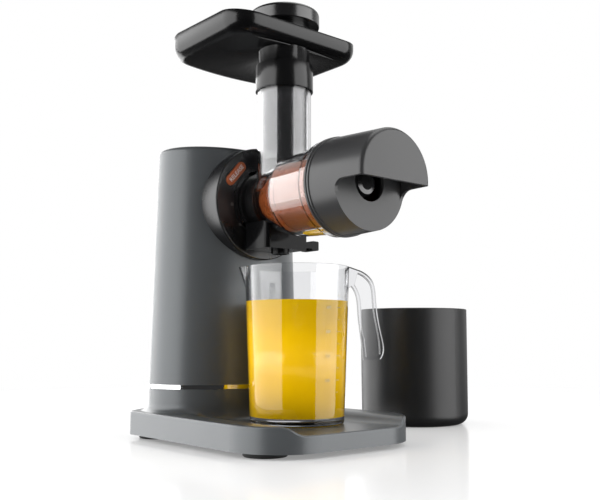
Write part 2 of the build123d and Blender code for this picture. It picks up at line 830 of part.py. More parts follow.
with BuildPart() as drive_shaft:
    with BuildSketch(across.offset(rear_plate_x)):
        Circle(drive_rear_r)
    extrude(amount=plate_thick + loose_gap)
    with BuildSketch(across.offset(rear_plate_x + plate_thick + loose_gap)):
        Circle(drive_shaft_r)
    extrude(amount=drive_hub_x - rear_plate_x - plate_thick - loose_gap)
    with BuildSketch(across.offset(drive_hub_x)):
        Circle(drive_hub_r)
    extrude(amount=drive_end_x - drive_hub_x)
    with BuildSketch(across.offset(shank_back_x - 1)):
        RegularPolygon(drive_flats / 2 + shaft_gap, 6, major_radius=False)
    extrude(amount=drive_end_x - shank_back_x + 1, mode=Mode.SUBTRACT)
keep(drive_shaft, "drive_shaft")

# ================================================================ electrics
with BuildPart() as board_posts:
    with BuildSketch(across.offset(rear_plate_x)):
        with Locations((0, board_z - auger_z)):
            with GridLocations(board_width - 8, board_height - 8, 2, 2):
                Circle(board_post_r)
    extrude(amount=-board_standoff)
keep(board_posts, "board_posts")

with BuildPart() as control_board:
    with BuildSketch(across.offset(rear_plate_x - board_standoff)):
        with Locations((0, board_z - auger_z)):
            RectangleRounded(board_width, board_height, 2)
    extrude(amount=-board_thick)
    with BuildSketch(across.offset(rear_plate_x - board_standoff - board_thick)):
        with Locations([(y, board_z - auger_z + z) for y, z in capacitor_at]):
            Circle(capacitor_r)
        with Locations((0, board_z - auger_z - driver_drop)):
            Rectangle(driver_width, driver_height)
    extrude(amount=-capacitor_height)
keep(control_board, "control_board")

with BuildPart() as switch_frame:
    with BuildSketch(across.offset(switch_x - switch_flange)):
        with Locations((0, switch_z - auger_z)):
            RectangleRounded(switch_width + 2 * switch_rim, switch_height + 2 * switch_rim, 2)
    extrude(amount=2 * switch_flange)
    add(tower_seat.part, mode=Mode.SUBTRACT)
    with BuildSketch(across.offset(switch_x - switch_flange / 2)):
        with Locations((0, switch_z - auger_z)):
            Rectangle(switch_width, switch_height)
    extrude(amount=switch_depth)
    with BuildSketch(across.offset(switch_x - switch_flange)):
        with Locations((0, switch_z - auger_z)):
            Rectangle(switch_width - 2 * switch_rim, switch_height - 2 * switch_rim)
    extrude(amount=switch_depth - switch_rim, mode=Mode.SUBTRACT)
    with BuildSketch(along.offset(-switch_width / 2)):
        with Locations((rocker_x, switch_z - auger_z)):
            Circle(rocker_pin_r + shaft_gap)
    extrude(amount=switch_width, mode=Mode.SUBTRACT)
keep(switch_frame, "switch_frame")

rocker_half = switch_width / 2 - switch_rim - rocker_gap
rocker_reach = switch_height / 2 - switch_rim - 1.0
rocker_tilt = Plane(
    origin=(chute_x + rocker_x, line_y, switch_z),
    x_dir=(cos(radians(rocker_angle)), 0, sin(radians(rocker_angle))),
    z_dir=(0, -1, 0),
)
with BuildPart() as power_rocker:
    with BuildSketch(rocker_tilt.offset(-rocker_half)):
        with BuildLine():
            face = ThreePointArc(
                (-rocker_proud, rocker_reach - 0.6),
                (rocker_dip - rocker_proud, 0),
                (-rocker_proud, 0.6 - rocker_reach),
            )
            Polyline(
                face @ 1,
                (1.0, -rocker_reach),
                (rocker_back, -rocker_keel),
                (rocker_back, rocker_keel),
                (1.0, rocker_reach),
                face @ 0,
            )
        make_face()
    extrude(amount=2 * rocker_half)
    with BuildSketch(rocker_tilt.offset(-switch_width / 2)):
        Circle(rocker_pin_r)
    extrude(amount=switch_width)
keep(power_rocker, "power_rocker")

with BuildPart() as cord_gland:
    with BuildSketch(across.offset(gland_x - switch_flange)):
        with Locations((0, gland_z - auger_z)):
            Circle(gland_flange_r)
    extrude(amount=2 * switch_flange)
    add(tower_seat.part, mode=Mode.SUBTRACT)
    with BuildSketch(across.offset(gland_x - switch_flange / 2)):
        with Locations((0, gland_z - auger_z)):
            Circle(gland_r)
    extrude(amount=switch_flange + tower_wall)
    with BuildSketch(across.offset(gland_x - switch_flange)):
        with Locations((0, gland_z - auger_z)):
            Circle(gland_bore_r + 2)
    extrude(amount=-gland_length, taper=4)
    with BuildSketch(across.offset(gland_x - switch_flange - gland_length)):
        with Locations((0, gland_z - auger_z)):
            Circle(gland_bore_r)
    extrude(amount=2 * gland_length, mode=Mode.SUBTRACT)
keep(cord_gland, "cord_gland")

# ================================================================ juicing chamber
def turned(places, name):
    """A body turned about the auger's axis from stations and radii."""
    with BuildPart(mode=Mode.PRIVATE) as body:
        with BuildSketch(along):
            with BuildLine():
                Polyline((places[0][0], 0), *places, (places[-1][0], 0), close=True)
            make_face()
        revolve(axis=auger_axis)
    body.part.label = name
    return body.part


body_places = [
    (chamber_back_x, chamber_back_r),
    body_back_corner,
    *body_curve,
    (body_front_x, body_front_r),
    (flange_back_x, body_front_r),
]
cavity_back_x = chamber_back_x + chamber_wall
cavity_places = [
    (cavity_back_x, chamber_back_r - chamber_wall),
    *((station, radius - chamber_wall) for station, radius in body_curve),
    (body_front_x, nose_r - chamber_wall),
    (nose_front_x, nose_r - chamber_wall),
]
cap_lug_r = nose_r + 1.2
cap_lug_x = flange_front_x + 3.4
cap_lug_length = 3.0
cap_lug_starts = (20.0, 140.0, 260.0)

with BuildPart() as chute_bore:
    with BuildSketch(ground.offset(auger_z)):
        Circle(chute_r - chute_wall)
    extrude(amount=chute_top_z - auger_z)
    with BuildSketch(across.offset(collar_back_x)):
        Circle(neck_r + chute_wall)
    extrude(amount=cavity_back_x - collar_back_x, mode=Mode.SUBTRACT)

with BuildPart() as juicing_chamber:
    add(turned(body_places, "body"))
    with BuildSketch(ground.offset(auger_z)):
        Circle(chute_r)
    extrude(amount=chute_top_z - auger_z)
    with BuildSketch(across.offset(collar_back_x)):
        Circle(neck_r)
    extrude(amount=chamber_back_x - collar_back_x, mode=Mode.SUBTRACT)
    with BuildSketch(across.offset(flange_back_x)):
        Circle(flange_r)
    extrude(amount=flange_front_x - flange_back_x)
    with BuildSketch(across.offset(flange_front_x)):
        Circle(nose_r)
    extrude(amount=nose_front_x - flange_front_x)
    with BuildSketch(across.offset(cap_lug_x)):
        for start in cap_lug_starts:
            add(ring_sector(nose_r - chamber_wall, cap_lug_r, start, cap_lug_angle))
    extrude(amount=cap_lug_length)
    add(turned(cavity_places, "cavity"), mode=Mode.SUBTRACT)
    add(chute_bore.part, mode=Mode.SUBTRACT)
    with BuildSketch(across.offset(chamber_back_x)):
        Circle(seal_seat_r)
    extrude(amount=chamber_wall, mode=Mode.SUBTRACT)
    with BuildSketch(ground.offset(auger_z - neck_r)):
        with Locations((spout_x, 0)):
            Circle(spout_bore_r)
    extrude(amount=-neck_r, mode=Mode.SUBTRACT)
keep(juicing_chamber, "juicing_chamber")

front_seal_back_x = chamber_back_x - front_seal_length
with BuildPart() as bayonet_collar:
    with BuildSketch(across.offset(collar_back_x)):
        Circle(collar_r)
    extrude(amount=collar_front_x - collar_back_x)
    chamfer(bayonet_collar.edges().sort_by(Axis.X)[0], 0.8)
    with BuildSketch(across.offset(collar_front_x)):
        Circle(neck_r)
    extrude(amount=chamber_back_x - collar_front_x)
    with BuildSketch(across.offset(lug_back_x)):
        for angle in lug_angles:
            add(ring_sector(neck_r, lug_r, angle - lug_angle / 2, lug_angle))
    extrude(amount=lug_front_x - lug_back_x)
    with BuildSketch(across.offset(collar_back_x)):
        Circle(collar_bore_r)
    extrude(amount=bushing_x - collar_back_x, mode=Mode.SUBTRACT)
    with BuildSketch(across.offset(bushing_x)):
        Circle(journal_r + shaft_gap)
    extrude(amount=front_seal_back_x - bushing_x, mode=Mode.SUBTRACT)
    with BuildSketch(across.offset(front_seal_back_x)):
        Circle(seal_seat_r)
    extrude(amount=front_seal_length, mode=Mode.SUBTRACT)
keep(bayonet_collar, "bayonet_collar")

with BuildPart() as front_seal:
    with BuildSketch(across.offset(front_seal_back_x)):
        Circle(seal_seat_r)
        Circle(journal_r + shaft_gap, mode=Mode.SUBTRACT)
    extrude(amount=front_seal_length + chamber_wall)
keep(front_seal, "front_seal")

# ================================================================ juice spout and drip stop
spout_back_x = socket_mouth_x + loose_gap
gate_near_y = -spout_half + chamber_wall / 2 + loose_gap
gate_width = gate_front_x - gate_back_x
gate_mid_x = (gate_front_x + gate_back_x) / 2
spout_split_z = gate_z - loose_gap


def spout_plan():
    """Outline of the spout, with its far side open for the drip stop."""
    with BuildSketch(Plane.XY, mode=Mode.PRIVATE) as plan:
        with Locations(((spout_back_x + spout_front_x) / 2, 0)):
            Rectangle(spout_front_x - spout_back_x, 2 * spout_half)
        fillet(plan.vertices().group_by(Axis.Y)[0], spout_edge_r)
    return plan.sketch


with BuildPart() as spout_housing:
    with BuildSketch(ground.offset(spout_split_z)):
        add(spout_plan())
    extrude(amount=spout_top_z - spout_split_z)
    add(turned([(x - seat_gap, r + seat_gap) for x, r in body_places], "body seat"), mode=Mode.SUBTRACT)
    with BuildSketch(across.offset(collar_back_x)):
        Circle(collar_r)
    extrude(amount=collar_front_x - collar_back_x, mode=Mode.SUBTRACT)
    with BuildSketch(across.offset(collar_front_x)):
        Circle(neck_r)
    extrude(amount=chamber_back_x - collar_front_x, mode=Mode.SUBTRACT)
    with BuildSketch(ground.offset(spout_split_z)):
        with Locations((spout_x, 0)):
            Circle(spout_bore_r)
    extrude(amount=spout_top_z - spout_split_z, mode=Mode.SUBTRACT)
    with BuildSketch(ground.offset(spout_split_z)):
        with Locations((gate_mid_x, gate_near_y - loose_gap)):
            Rectangle(gate_width + 2 * loose_gap, 2 * spout_half, align=(Align.CENTER, Align.MIN))
    extrude(amount=gate_thick + 2 * loose_gap, mode=Mode.SUBTRACT)
keep(spout_housing, "spout_housing")

with BuildPart() as spout_nozzle:
    with BuildSketch(ground.offset(spout_bottom_z)):
        add(spout_plan())
    extrude(amount=spout_split_z - spout_bottom_z)
    with BuildSketch(ground.offset(spout_bottom_z)):
        with Locations((spout_x, 0)):
            Circle(spout_bore_r + lip_wall)
    extrude(amount=-lip_height)
    with BuildSketch(ground.offset(spout_bottom_z - lip_height)):
        with Locations((spout_x, 0)):
            Circle(spout_bore_r)
    extrude(amount=spout_split_z - spout_bottom_z + lip_height, mode=Mode.SUBTRACT)
keep(spout_nozzle, "spout_nozzle")

with BuildPart() as drip_stop_gate:
    with BuildSketch(ground.offset(gate_z)):
        with Locations((gate_mid_x, gate_near_y)):
            Rectangle(gate_width, gate_far_y - gate_near_y, align=(Align.CENTER, Align.MIN))
        with Locations((spout_x, 0)):
            Circle(spout_bore_r, mode=Mode.SUBTRACT)
    extrude(amount=gate_thick)
    with BuildSketch(across.offset(gate_back_x)):
        with Locations((gate_far_y - grip_length / 2, gate_z + gate_thick / 2 - auger_z)):
            RectangleRounded(grip_length, gate_thick + 2 * grip_proud, 1.2)
        with Locations((gate_far_y - grip_length / 2, gate_z - grip_proud - auger_z)):
            with GridLocations(grip_length / 3, 0, 3, 1):
                Circle(0.6, mode=Mode.SUBTRACT)
    extrude(amount=gate_width)
keep(drip_stop_gate, "drip_stop_gate")

# ================================================================ strainer and auger
cone_rise = (strainer_r - strainer_back_r) / (strainer_body_x - strainer_back_x)
strainer_in_r = strainer_r - strainer_wall
flange_seat_r = nose_r - chamber_wall - shaft_gap
window_starts = [360 / window_count * (i + 0.5) - window_angle / 2 + 30 for i in range(window_count)]
with BuildPart() as strainer_cage:
    add(turned([
        (strainer_back_x, strainer_back_r),
        (strainer_body_x, strainer_r),
        (strainer_front_x - strainer_flange, strainer_r),
        (strainer_front_x - strainer_flange, flange_seat_r),
        (strainer_front_x, flange_seat_r),
    ], "outside"))
    add(turned([
        (strainer_back_x + strainer_wall, strainer_back_r - strainer_wall + cone_rise * strainer_wall),
        (strainer_body_x, strainer_in_r),
        (strainer_front_x, strainer_in_r),
    ], "inside"), mode=Mode.SUBTRACT)
    with BuildSketch(across.offset(strainer_back_x)):
        Circle(journal_r + 2 * strainer_wall)
    extrude(amount=strainer_wall, mode=Mode.SUBTRACT)
    with BuildSketch(across.offset(window_back_x)):
        for start in window_starts:
            add(ring_sector(strainer_in_r - 1, strainer_r + 1, start, window_angle))
    extrude(amount=window_front_x - window_back_x, mode=Mode.SUBTRACT)
    with BuildSketch(ground.offset(auger_z + strainer_back_r / 2)):
        Circle(chute_r - chute_wall)
    extrude(amount=2 * strainer_r, mode=Mode.SUBTRACT)
    with BuildSketch(ground.offset(auger_z)):
        with Locations((spout_x, 0)):
            SlotOverall(3 * spout_bore_r, spout_bore_r)
    extrude(amount=-2 * strainer_r, mode=Mode.SUBTRACT)
keep(strainer_cage, "strainer_cage")

mesh_r = (strainer_r + strainer_in_r + mesh_thick) / 2
with BuildPart() as strainer_mesh:
    with BuildSketch(across.offset(window_back_x)):
        for start in window_starts:
            add(ring_sector(mesh_r - mesh_thick, mesh_r, start, window_angle))
    extrude(amount=window_front_x - window_back_x)
keep(strainer_mesh, "strainer_mesh")

flight_r = strainer_in_r - auger_gap
flight_root_r = auger_core_r - 2
flight_back_x = strainer_back_x + strainer_wall + auger_gap
flight_back_r = strainer_back_r - strainer_wall - auger_gap
swept_space = turned(
    [(flight_back_x, flight_back_r), (strainer_body_x, flight_r), (flight_front_x, flight_r)], "swept space"
).rotate(auger_axis, 217)
with BuildPart() as flight:
    add(swept_space)
    with BuildLine() as flight_path:
        Helix(
            pitch=flight_pitch,
            height=flight_front_x - flight_back_x,
            radius=flight_root_r,
            center=(chute_x + flight_back_x + auger_gap, line_y, auger_z),
            direction=(1, 0, 0),
        )
    flight_start = flight_path.line @ 0
    outward = (0, flight_start.Y - line_y, flight_start.Z - auger_z)
    with BuildSketch(Plane(origin=flight_start, x_dir=outward, z_dir=flight_path.line % 0)):
        Rectangle(strainer_r - flight_root_r, flight_thick, align=(Align.MIN, Align.CENTER))
    sweep(path=flight_path.line, is_frenet=True, mode=Mode.INTERSECT)

with BuildPart() as auger:
    add(turned([
        (bushing_x, journal_r),
        (strainer_back_x, journal_r),
        (strainer_back_x, auger_core_r),
        (flight_front_x, auger_core_front_r),
        (press_x - 6, auger_press_r - 1.5),
        (press_x, auger_press_r),
        (press_x + 3, auger_press_r - 1.0),
        (press_x + 14, tip_r),
        (tip_x - 3, tip_r),
        (tip_x - 0.8, tip_r - 1.8),
        (tip_x, tip_r - 5),
    ], "core"))
    add(flight.part)
    with BuildSketch(across.offset(shank_back_x)):
        RegularPolygon(drive_flats / 2 - shaft_gap, 6, major_radius=False)
    extrude(amount=bushing_x - shank_back_x)
keep(auger, "auger")

# ================================================================ end cap
taper_rise = (cap_back_r - cap_front_r) / (cap_front_x - cap_back_x)
cap_mid_r = cap_back_r - taper_rise * (cap_disc_x - cap_back_x)
groove_wide = cap_lug_length + 2 * loose_gap
with BuildPart() as end_cap:
    add(turned([(cap_back_x, cap_back_r), (cap_front_x, cap_front_r)], "form"))
    fillet(end_cap.edges().sort_by(Axis.X)[-1], cap_edge_r)
    with BuildSketch(along.offset(-cap_back_r)):
        with BuildLine():
            lower = -hood_drop
            arc = JernArc((cap_disc_x, lower - hood_blend_r), (0, 1), hood_blend_r, -90)
            Polyline(
                arc @ 1,
                (cap_front_x + 1, lower),
                (cap_front_x + 1, -cap_back_r),
                (cap_disc_x, -cap_back_r),
                arc @ 0,
            )
        make_face()
    extrude(amount=2 * cap_back_r, mode=Mode.SUBTRACT)
    add(turned([
        (cap_disc_x, cap_mid_r - cap_wall),
        (cap_front_x - cap_wall, cap_front_r - cap_wall),
    ], "hood hollow"), mode=Mode.SUBTRACT)
    with BuildSketch(across.offset(cap_back_x)):
        Circle(nose_r + loose_gap)
    extrude(amount=nose_front_x + loose_gap - cap_back_x, mode=Mode.SUBTRACT)
    with BuildSketch(across.offset(cap_lug_x - loose_gap)):
        Circle(cap_lug_r + loose_gap)
    extrude(amount=groove_wide, mode=Mode.SUBTRACT)
    with BuildSketch(across.offset(cap_back_x)):
        for start in cap_lug_starts:
            add(ring_sector(nose_r - 1, cap_lug_r + loose_gap, start + cap_twist - 2, cap_lug_angle + 4))
    extrude(amount=cap_lug_x - cap_back_x, mode=Mode.SUBTRACT)
    add(turned([
        (nose_front_x, funnel_r),
        (nose_front_x + loose_gap, funnel_r),
        (cap_disc_x - cap_wall, outlet_r),
        (cap_disc_x, outlet_r),
    ], "funnel"), mode=Mode.SUBTRACT)
keep(end_cap, "end_cap")

# ================================================================ hopper tray and pusher
tray_height = tray_arch_z - tray_bottom_z
arch_back_x = tray_back_x - tray_bow - 2
arch_front_x = tray_front_x + 2
arch_mid_x = (arch_back_x + arch_front_x) / 2


def tray_block(inset, floor_z, edge_r):
    """Rounded block of the tray, drawn in by an inset."""
    with BuildPart(mode=Mode.PRIVATE) as block:
        with BuildSketch(ground.offset(floor_z)) as plan:
            with BuildLine():
                sides = Polyline(
                    (tray_back_x + inset, inset - tray_half),
                    (tray_front_x - inset, inset - tray_half),
                    (tray_front_x - inset, tray_half - inset),
                    (tray_back_x + inset, tray_half - inset),
                )
                ThreePointArc(sides @ 1, (tray_back_x - tray_bow + inset, 0), sides @ 0)
            make_face()
            fillet(plan.vertices(), tray_corner_r - inset)
        extrude(amount=tray_height + 1)
        fillet(block.edges().group_by(Axis.Z)[0], edge_r)
    return block.part


with BuildPart() as hopper_tray:
    add(tray_block(0, tray_bottom_z, tray_edge_r))
    add(tray_block(tray_wall, tray_bottom_z + tray_wall, tray_floor_r), mode=Mode.SUBTRACT)
    with BuildSketch(upright.offset(-tray_half - 1)):
        with BuildLine():
            arch = ThreePointArc(
                (arch_back_x, tray_rim_z),
                (arch_mid_x, tray_arch_z),
                (arch_front_x, tray_rim_z),
            )
            Polyline(arch @ 1, (arch_front_x, tray_arch_z + 2), (arch_back_x, tray_arch_z + 2), arch @ 0)
        make_face()
    extrude(amount=2 * tray_half + 2, mode=Mode.SUBTRACT)
    with BuildSketch(ground.offset(tray_collar_top_z)):
        Circle(tray_neck_r)
    extrude(amount=tray_bottom_z - tray_collar_top_z)
    with BuildSketch(ground.offset(tray_collar_z)):
        Circle(tray_collar_r)
    extrude(amount=tray_collar_top_z - tray_collar_z)
    lowest_rings = hopper_tray.edges().filter_by(GeomType.CIRCLE).group_by(Axis.Z)[0]
    chamfer(lowest_rings.sort_by(SortBy.RADIUS)[-1], 0.6)
    with BuildSketch(ground.offset(tray_collar_z)):
        Circle(chute_r + collar_gap)
    extrude(amount=chute_top_z - tray_collar_z, mode=Mode.SUBTRACT)
    with BuildSketch(ground.offset(tray_collar_z)):
        Circle(pusher_r + pusher_gap)
    extrude(amount=tray_arch_z - tray_collar_z, mode=Mode.SUBTRACT)
keep(hopper_tray, "hopper_tray")

pusher_stop_z = tray_bottom_z + tray_wall
knob_z = pusher_top_z - knob_height
with BuildPart() as pusher_knob:
    with BuildSketch(ground.offset(knob_z)):
        Circle(knob_r)
    extrude(amount=knob_height)
    fillet(pusher_knob.edges().group_by(Axis.Z)[-1], knob_edge_r)
    fillet(pusher_knob.edges().group_by(Axis.Z)[0], 1.0)
    with BuildSketch(ground.offset(pusher_stop_z)):
        Circle(knob_neck_r)
    extrude(amount=knob_z - pusher_stop_z)
    with BuildSketch(ground.offset(pusher_stop_z)):
        Circle(pusher_r)
    extrude(amount=knob_z + plug_depth - pusher_stop_z, mode=Mode.SUBTRACT)
keep(pusher_knob, "pusher_knob")

with BuildPart() as pusher_shaft:
    with BuildSketch(ground.offset(pusher_bottom_z)):
        Circle(pusher_r)
    extrude(amount=knob_z + plug_depth - pusher_bottom_z)
    fillet(pusher_shaft.edges().group_by(Axis.Z)[0], 1.5)
    with BuildSketch(ground.offset(pusher_bottom_z + pusher_wall)):
        Circle(pusher_r - pusher_wall)
    extrude(amount=knob_z + plug_depth - pusher_bottom_z, mode=Mode.SUBTRACT)
keep(pusher_shaft, "pusher_shaft")

# ================================================================ jug
jug_axis = Axis((chute_x + jug_x, line_y + jug_y, 0), (0, 0, 1))
jug_section = Plane(origin=(chute_x + jug_x, line_y + jug_y, 0), x_dir=(1, 0, 0), z_dir=(0, -1, 0))
handle_plane = jug_section.rotated((0, 0, jug_handle_turn))
jug_lean = (jug_top_r - jug_foot_r) / (jug_top_z - valley_z)
jug_floor_z = valley_z + jug_floor
jug_in_top_r = jug_top_r - jug_wall
jug_in_foot_r = jug_foot_r - jug_wall + jug_lean * jug_floor
beak_r = 12.0
beak_foot_r = 5.0
beak_foot_reach = jug_top_r - jug_wall - beak_foot_r
handle_root_r = jug_top_r - jug_wall / 2 - 0.5


def beside(places, distance):
    """The same run of places, shifted to the right of its direction."""
    shifted = []
    for index, (reach, height) in enumerate(places):
        before = places[max(index - 1, 0)]
        after = places[min(index + 1, len(places) - 1)]
        run = hypot(after[0] - before[0], after[1] - before[1])
        shifted.append((
            reach + distance * (after[1] - before[1]) / run,
            height - distance * (after[0] - before[0]) / run,
        ))
    return shifted


def beak(inset):
    """Tapering body of the pouring spout, opposite the handle."""
    level = Plane(origin=handle_plane.origin, x_dir=handle_plane.x_dir)
    with BuildPart(mode=Mode.PRIVATE) as body:
        with BuildSketch(level.offset(jug_top_z - jug_spout_height)):
            with Locations((-beak_foot_reach, 0)):
                Circle(beak_foot_r - inset)
        with BuildSketch(level.offset(jug_top_z)):
            with Locations((-jug_top_r - jug_spout_reach + beak_r, 0)):
                Circle(beak_r - inset)
        loft()
    return body.part


with BuildPart() as juice_jug:
    with BuildSketch(jug_section):
        with BuildLine():
            Polyline(
                (0, valley_z),
                (jug_foot_r, valley_z),
                (jug_top_r, jug_top_z),
                (0, jug_top_z),
                close=True,
            )
        make_face()
    revolve(axis=jug_axis)
    fillet(juice_jug.edges().group_by(Axis.Z)[0], 2.5)
    add(beak(0))
    with BuildSketch(handle_plane):
        with BuildLine():
            outer_run = Spline(*handle_outer)
            inner_run = Spline(*handle_inner)
            Line(outer_run @ 1, inner_run @ 0)
            Polyline(
                inner_run @ 1,
                (handle_root_r, handle_root_z),
                (handle_root_r, jug_top_z),
                (jug_top_r, jug_top_z),
                outer_run @ 0,
            )
        make_face()
    extrude(amount=handle_width / 2, both=True)
    for side in (-1, 1):
        with BuildSketch(handle_plane.offset(side * handle_web / 2)):
            with BuildLine():
                outer_rib = Spline(*beside(handle_outer[:-1], handle_rib))
                inner_rib = Spline(*beside(handle_inner[1:], handle_rib))
                Polyline(
                    outer_rib @ 1,
                    (handle_outer[-1][0] - 2 * handle_rib, handle_outer[-1][1] + handle_rib),
                    (handle_inner[0][0] + handle_rib, handle_inner[0][1] + handle_rib),
                    inner_rib @ 0,
                )
                Line(inner_rib @ 1, outer_rib @ 0)
            make_face()
        extrude(amount=side * handle_width, mode=Mode.SUBTRACT)
    with BuildSketch(jug_section):
        with BuildLine():
            Polyline(
                (0, jug_floor_z),
                (jug_in_foot_r, jug_floor_z),
                (jug_in_top_r, jug_top_z),
                (0, jug_top_z),
                close=True,
            )
        make_face()
    revolve(axis=jug_axis, mode=Mode.SUBTRACT)
    add(beak(jug_wall), mode=Mode.SUBTRACT)
keep(juice_jug, "juice_jug")

# ================================================================ pulp bin
bin_plane = Plane(origin=(chute_x + bin_x, line_y + bin_y, 0), x_dir=(1, 0, 0), z_dir=(0, -1, 0))
bin_axis = Axis((chute_x + bin_x, line_y + bin_y, 0), (0, 0, 1))


def bin_body(inset):
    """Rounded, slightly flared body of the bin, drawn in by an inset."""
    with BuildPart(mode=Mode.PRIVATE) as body:
        with BuildSketch(bin_plane):
            with BuildLine():
                Polyline(
                    (0, inset),
                    (bin_foot_r - inset, inset),
                    (bin_r - inset, bin_height + (1 if inset else 0)),
                    (0, bin_height + (1 if inset else 0)),
                    close=True,
                )
            make_face()
        revolve(axis=bin_axis)
        fillet(body.edges().group_by(Axis.Z)[0], bin_edge_r - inset)
    return body.part


with BuildPart() as pulp_bin:
    add(bin_body(0))
    add(bin_body(bin_wall), mode=Mode.SUBTRACT)
    fillet(pulp_bin.edges().group_by(Axis.Z)[-1], 0.9)
keep(pulp_bin, "pulp_bin")
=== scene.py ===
"""Cold press juicer: finishes, juice, marks, light and camera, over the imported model. Metres."""
from math import cos, pi, radians, sin

import bmesh
import bpy
from mathutils import Matrix, Vector


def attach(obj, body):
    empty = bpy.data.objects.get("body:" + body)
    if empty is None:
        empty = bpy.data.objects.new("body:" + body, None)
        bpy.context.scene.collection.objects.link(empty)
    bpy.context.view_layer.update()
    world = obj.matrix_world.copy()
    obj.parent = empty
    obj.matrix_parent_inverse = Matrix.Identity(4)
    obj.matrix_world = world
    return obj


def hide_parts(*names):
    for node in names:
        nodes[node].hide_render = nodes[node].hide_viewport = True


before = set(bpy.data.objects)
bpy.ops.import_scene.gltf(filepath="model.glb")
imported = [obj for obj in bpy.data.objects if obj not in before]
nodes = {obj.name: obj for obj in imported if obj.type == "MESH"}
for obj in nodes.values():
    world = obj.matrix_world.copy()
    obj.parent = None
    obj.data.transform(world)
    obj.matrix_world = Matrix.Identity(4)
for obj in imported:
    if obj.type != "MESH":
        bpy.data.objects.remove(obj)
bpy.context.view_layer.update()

MM = 0.001
ROUND_STEPS = 96

# ---------------------------------------------------------------- places in the frame
chute = Vector((7.85, -91.65, 0)) * MM
auger_z = 206 * MM
jug_axis = chute + Vector((16.4, 1.0, 0)) * MM
jug_foot_z = 17.3 * MM
jug_rim_z = 146 * MM
jug_floor_z = jug_foot_z + 7 * MM
jug_inside_foot_r = 36.85 * MM
jug_inside_rim_r = 41.7 * MM
jug_outside_foot_r = 38.8 * MM
jug_outside_rim_r = 43.9 * MM
juice_z = 117.5 * MM
bezel_face_x = chute.x - 30 * MM
button_face_x = bezel_face_x + 1.3 * MM
button_middle = Vector((0, -29.7, 23.8)) * MM
button_tilt = radians(49)


# ---------------------------------------------------------------- nodes of a material or of the sky
class Nodes:
    """A node tree and short ways to fill it."""

    def __init__(self, tree):
        self.tree = tree

    def feed(self, socket, value):
        """A link where the value is another node's output, and a plain value elsewhere."""
        if isinstance(value, bpy.types.NodeSocket):
            self.tree.links.new(value, socket)
        else:
            socket.default_value = value

    def add(self, kind, **inputs):
        """A node of this kind, with values or links for its sockets."""
        node = self.tree.nodes.new(kind)
        for socket, value in inputs.items():
            self.feed(node.inputs[socket.replace("_", " ")], value)
        return node

    def span(self, factor, low, high, start=0.0, end=1.0):
        """A factor stretched from the range start to end onto the range low to high."""
        return self.add("ShaderNodeMapRange", Value=factor, From_Min=start, From_Max=end,
                        To_Min=low, To_Max=high).outputs[0]

    def reckon(self, operation, first, second):
        """One sum of two values."""
        node = self.add("ShaderNodeMath")
        node.operation = operation
        self.feed(node.inputs[0], first)
        self.feed(node.inputs[1], second)
        return node.outputs[0]

    def join(self, kind, first, second, **inputs):
        """Two shaders mixed or added by a node of this kind."""
        node = self.add(kind, **inputs)
        first_place = len(node.inputs) - 2
        self.feed(node.inputs[first_place], first)
        self.feed(node.inputs[first_place + 1], second)
        return node.outputs[0]


class Finish(Nodes):
    """One material and the nodes that make it, over a single surface shader."""

    def __init__(self, name, colour, roughness=0.5, metallic=0.0, **sockets):
        self.material = bpy.data.materials.new(name)
        self.material.use_nodes = True
        super().__init__(self.material.node_tree)
        self.shader = self.tree.nodes["Principled BSDF"]
        self.output = self.tree.nodes["Material Output"]
        self.shader.inputs["Base Color"].default_value = (*colour, 1)
        self.shader.inputs["Roughness"].default_value = roughness
        self.shader.inputs["Metallic"].default_value = metallic
        for socket, value in sockets.items():
            self.shader.inputs[socket.replace("_", " ")].default_value = value
        self.places = self.add("ShaderNodeTexCoord").outputs["Object"]
        self.bumps = None

    def give(self, socket, value):
        """A value or a link on the surface shader."""
        self.feed(self.shader.inputs[socket], value)

    def noise(self, scale, detail=2.0, stretch=(1, 1, 1)):
        """Noise at a scale in the object's own space."""
        mapping = self.add("ShaderNodeMapping", Vector=self.places, Scale=stretch)
        cloud = self.add("ShaderNodeTexNoise", Vector=mapping.outputs[0], Scale=scale, Detail=detail)
        return cloud.outputs["Fac"]

    def blend(self, factor, first, second):
        """A colour between two colours."""
        node = self.add("ShaderNodeMix")
        node.data_type = "RGBA"
        self.feed(node.inputs["Factor"], factor)
        for index, colour in ((6, first), (7, second)):
            self.feed(node.inputs[index], (*colour, 1))
        return node.outputs[2]

    def bump(self, height, strength, distance):
        """A fine relief on top of what is there already."""
        node = self.add("ShaderNodeBump", Height=height, Strength=strength, Distance=distance)
        if self.bumps:
            self.feed(node.inputs["Normal"], self.bumps)
        self.bumps = node.outputs[0]
        self.give("Normal", self.bumps)

    def mottle(self, first, second, scale, low, high):
        """Slow changes of colour and of gloss over the surface."""
        gloss_scale = scale * 2.3
        self.give("Base Color", self.blend(self.noise(scale, 4.0), first, second))
        self.give("Roughness", self.span(self.noise(gloss_scale, 5.0), low, high))


# ---------------------------------------------------------------- plastics
GRAIN_DEPTH = 0.06 * MM
WAVE_SCALE, WAVE_DEPTH = 45, 0.6 * MM
MOTTLE_SCALE = 14
GLOSS_LOW, GLOSS_HIGH = -0.04, 0.05
DEEP_BLACK = (0.003, 0.003, 0.0033), (0.004, 0.004, 0.0043)


def moulded(name, colours, roughness, grain, grain_scale=2600, **sockets):
    """Moulded plastic with a fine grain and a slight mottle between two colours."""
    finish = Finish(name, colours[0], roughness, **sockets)
    finish.mottle(*colours, MOTTLE_SCALE, roughness + GLOSS_LOW, roughness + GLOSS_HIGH)
    finish.bump(finish.noise(grain_scale, 3.0), grain, GRAIN_DEPTH)
    finish.bump(finish.noise(WAVE_SCALE, 2.0), 0.03, WAVE_DEPTH)
    return finish


